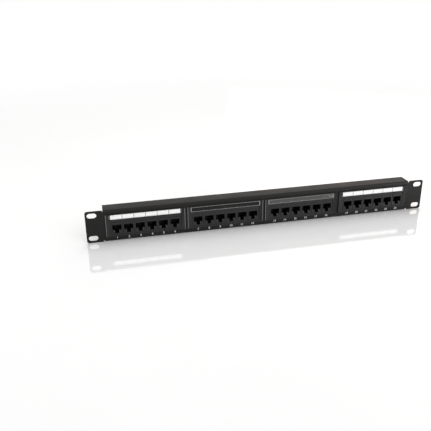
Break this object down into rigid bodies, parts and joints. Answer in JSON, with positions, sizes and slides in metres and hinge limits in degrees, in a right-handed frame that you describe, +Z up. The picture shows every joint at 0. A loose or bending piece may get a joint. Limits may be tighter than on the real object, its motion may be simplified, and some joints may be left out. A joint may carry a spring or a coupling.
{
  "type": "rack patch panel",
  "caption": "Black steel rack patch panel with modular jack sockets in front, toothed connector blocks behind, clear label covers and a rear cable bar.",
  "frame": {"origin": "centre of the part's box, on the surface that the lower flange and the cable bar stand on", "axes": "+X along the panel to the right as seen from the front, +Y to the rear, +Z up"},
  "size_m": [0.4826, 0.0864, 0.044],
  "materials": {
    "black_steel": "satin black powder coat",
    "black_moulding": "fine moulded texture",
    "gold_contact": "bright plated",
    "clear_cover": "clear, polished",
    "white_label": "smooth white paper",
    "black_board": "black solder mask",
    "cream_moulding": "semi-matt cream moulding",
    "bright_screw": "bright zinc"
  },
  "bodies": {
    "panel": {"front_panel": "black_steel", "jack_housing_1": "black_moulding", "jack_housing_2": "black_moulding", "jack_housing_3": "black_moulding", "jack_housing_4": "black_moulding", "contact_set_1": "gold_contact", "contact_set_2": "gold_contact", "contact_set_3": "gold_contact", "contact_set_4": "gold_contact", "paper_label_1": "white_label", "paper_label_4": "white_label", "circuit_board_1": "black_board", "circuit_board_2": "black_board", "circuit_board_3": "black_board", "circuit_board_4": "black_board", "connector_block_1_upper": "cream_moulding", "connector_block_1_lower": "cream_moulding", "connector_block_2_upper": "cream_moulding", "connector_block_2_lower": "cream_moulding", "connector_block_3_upper": "cream_moulding", "connector_block_3_lower": "cream_moulding", "connector_block_4_upper": "cream_moulding", "connector_block_4_lower": "cream_moulding", "wiring_label_1": "white_label", "wiring_label_2": "white_label", "wiring_label_3": "white_label", "wiring_label_4": "white_label", "module_screw_1_left": "bright_screw", "module_screw_1_right": "bright_screw", "module_screw_2_left": "bright_screw", "module_screw_2_right": "bright_screw", "module_screw_3_left": "bright_screw", "module_screw_3_right": "bright_screw", "module_screw_4_left": "bright_screw", "module_screw_4_right": "bright_screw"},
    "bar": {"cable_bar": "black_steel"},
    "cover_1": {"label_cover_1": "clear_cover"},
    "cover_2": {"label_cover_2": "clear_cover"},
    "cover_3": {"label_cover_3": "clear_cover"},
    "cover_4": {"label_cover_4": "clear_cover"}
  },
  "joints": [
    {"name": "cable_bar_pull", "type": "slide", "parent": "panel", "child": "bar", "axis": [0, 1, 0], "range_m": [0, 0.03]},
    {"name": "label_cover_1_pull", "type": "slide", "parent": "panel", "child": "cover_1", "axis": [0, -1, 0], "range_m": [0, 0.006]},
    {"name": "label_cover_2_pull", "type": "slide", "parent": "panel", "child": "cover_2", "axis": [0, -1, 0], "range_m": [0, 0.006]},
    {"name": "label_cover_3_pull", "type": "slide", "parent": "panel", "child": "cover_3", "axis": [0, -1, 0], "range_m": [0, 0.006]},
    {"name": "label_cover_4_pull", "type": "slide", "parent": "panel", "child": "cover_4", "axis": [0, -1, 0], "range_m": [0, 0.006]}
  ]
}
